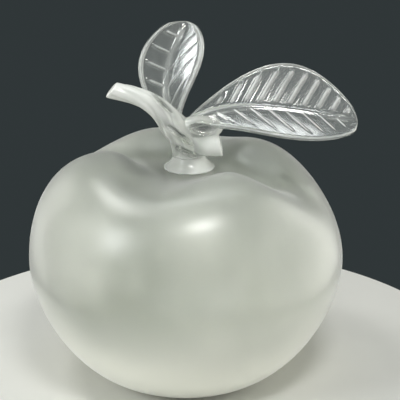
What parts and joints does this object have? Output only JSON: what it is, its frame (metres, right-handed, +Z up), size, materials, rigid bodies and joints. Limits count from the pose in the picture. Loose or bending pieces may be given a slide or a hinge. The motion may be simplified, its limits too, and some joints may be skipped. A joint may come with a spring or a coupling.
{
  "type": "glass apple flacon",
  "caption": "Hollow frosted-glass apple with a lobed top and a lift-out stopper: ground plug, flared collar, cut twig and clear veined leaves. Stands on its flat foot as an ornament.",
  "frame": {"origin": "middle of the flat foot that the apple stands on", "axes": "+Z up along the apple's axis, the front of the picture faces -Y and the spreading leaf points along +X"},
  "size_m": [0.1156, 0.112, 0.1259],
  "materials": {
    "frosted_glass": "satin frosted, acid-etched outside",
    "satin_glass": "milky satin, ground and hot-worked",
    "clear_glass": "clear, fire-polished, with moulded veins"
  },
  "bodies": {
    "bottle": {"apple_body": "frosted_glass", "apple_dimple": "frosted_glass"},
    "stopper": {"stopper_plug": "satin_glass", "stalk": "clear_glass", "twig": "clear_glass", "twig_stub": "satin_glass", "upright_leaf": "clear_glass", "spreading_leaf": "clear_glass"}
  },
  "joints": [
    {"name": "stopper_lift", "type": "slide", "parent": "bottle", "child": "stopper", "axis": [0, 0, 1], "range_m": [0, 0.03]}
  ]
}
